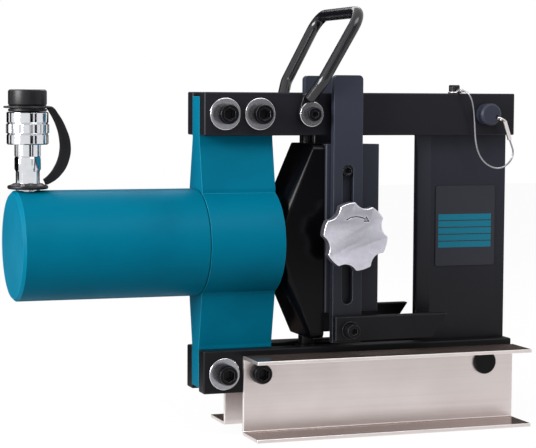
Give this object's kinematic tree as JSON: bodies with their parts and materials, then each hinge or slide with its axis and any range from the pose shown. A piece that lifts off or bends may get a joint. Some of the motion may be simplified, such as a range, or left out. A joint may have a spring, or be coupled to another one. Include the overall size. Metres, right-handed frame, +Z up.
{
  "type": "hydraulic busbar and sheet bending head",
  "caption": "Open-frame hydraulic bending head: a horizontal barrel pushes a V die against a pinned wedge-nosed column, with sheet supports, foot channels and carrying handle.",
  "frame": {"origin": "middle of the whole head's length and width, on the surface that the foot channels stand on", "axes": "+X along the ram from the barrel to the die column, +Y away from the operator's side, +Z up"},
  "size_m": [0.4708, 0.132, 0.3792],
  "materials": {
    "teal_paint": "gloss enamel",
    "black_enamel": "semi-gloss",
    "plated_sheet": "dull plated",
    "black_oxide": "oxide",
    "ground_steel": "ground",
    "rubber": "moulded",
    "label_plate": "printed, bare of text",
    "cast_aluminium": "satin cast",
    "chrome": "bright plated",
    "bright_wire": "bright steel rope and sleeves",
    "zinc_plate": "zinc plated"
  },
  "bodies": {
    "frame": {"front_top_bar": "black_enamel", "rear_top_bar": "black_enamel", "front_bottom_bar": "black_enamel", "rear_bottom_bar": "black_enamel", "foot_channel_front": "plated_sheet", "foot_channel_rear": "plated_sheet", "head_block": "teal_paint", "cylinder_barrel": "teal_paint", "rod_wiper": "rubber", "die_column": "black_enamel", "data_plate": "label_plate", "pivot_pin": "black_oxide", "pivot_clip": "black_oxide", "head_bolts": "black_oxide", "foot_bolt": "black_oxide", "head_washers": "zinc_plate", "head_nuts": "black_oxide", "handle_bushes": "black_oxide", "handle_washers": "zinc_plate", "handle_screws": "black_oxide", "coupler_body": "chrome", "coupler_poppet": "ground_steel", "strap_ring": "rubber", "cap_strap": "rubber", "lanyard_screw": "black_oxide", "lanyard_frame_end": "bright_wire", "lanyard_wire": "bright_wire"},
    "ram": {"piston": "ground_steel", "piston_seal": "rubber", "ram_rod": "ground_steel", "return_spring": "ground_steel", "ram_head": "black_enamel", "guide_posts": "black_oxide", "vee_die": "black_enamel", "guide_screws": "black_oxide", "clamp_bolt": "black_oxide", "clamp_washers": "black_oxide"},
    "support_front": {"support_plate_front": "black_enamel", "support_arm_front": "black_enamel", "arm_screw_front": "black_oxide", "arm_washer_front": "black_oxide"},
    "support_rear": {"support_plate_rear": "black_enamel", "support_arm_rear": "black_enamel", "arm_screw_rear": "black_oxide", "arm_washer_rear": "black_oxide"},
    "knob": {"clamp_knob": "cast_aluminium"},
    "handle": {"carry_handle": "black_enamel"},
    "pin": {"release_pin": "black_oxide", "lanyard_pin_end": "bright_wire"},
    "cap": {"dust_cap": "rubber"},
    "collar": {"coupler_collar": "chrome"}
  },
  "joints": [
    {"name": "ram_slide", "type": "slide", "parent": "frame", "child": "ram", "axis": [1, 0, 0], "range_m": [0, 0.07], "stiffness_N_per_m": 1500, "springref_m": -0.03, "deforming": ["return_spring"]},
    {"name": "support_front_lift", "type": "slide", "parent": "ram", "child": "support_front", "axis": [0, 0, 1], "range_m": [0, 0.04]},
    {"name": "support_rear_lift", "type": "slide", "parent": "ram", "child": "support_rear", "axis": [0, 0, 1], "range_m": [0, 0.04]},
    {"name": "knob_turn", "type": "hinge", "parent": "ram", "child": "knob", "pos_m": [0.0642, -0.05, 0.177], "axis": [0, 1, 0], "range_deg": [0, 180]},
    {"name": "handle_swing", "type": "hinge", "parent": "frame", "child": "handle", "pos_m": [0.03185, 0, 0.284], "axis": [0, 1, 0], "range_deg": [-97, 0]},
    {"name": "pin_pull", "type": "slide", "parent": "frame", "child": "pin", "axis": [0, -1, 0], "range_m": [0, 0.06], "deforming": ["lanyard_wire"]},
    {"name": "cap_lift", "type": "slide", "parent": "frame", "child": "cap", "axis": [0, 0, 1], "range_m": [0, 0.03], "deforming": ["cap_strap"]},
    {"name": "collar_turn", "type": "hinge", "parent": "frame", "child": "collar", "pos_m": [-0.21495, 0, 0.27], "axis": [0, 0, 1], "continuous": true}
  ]
}
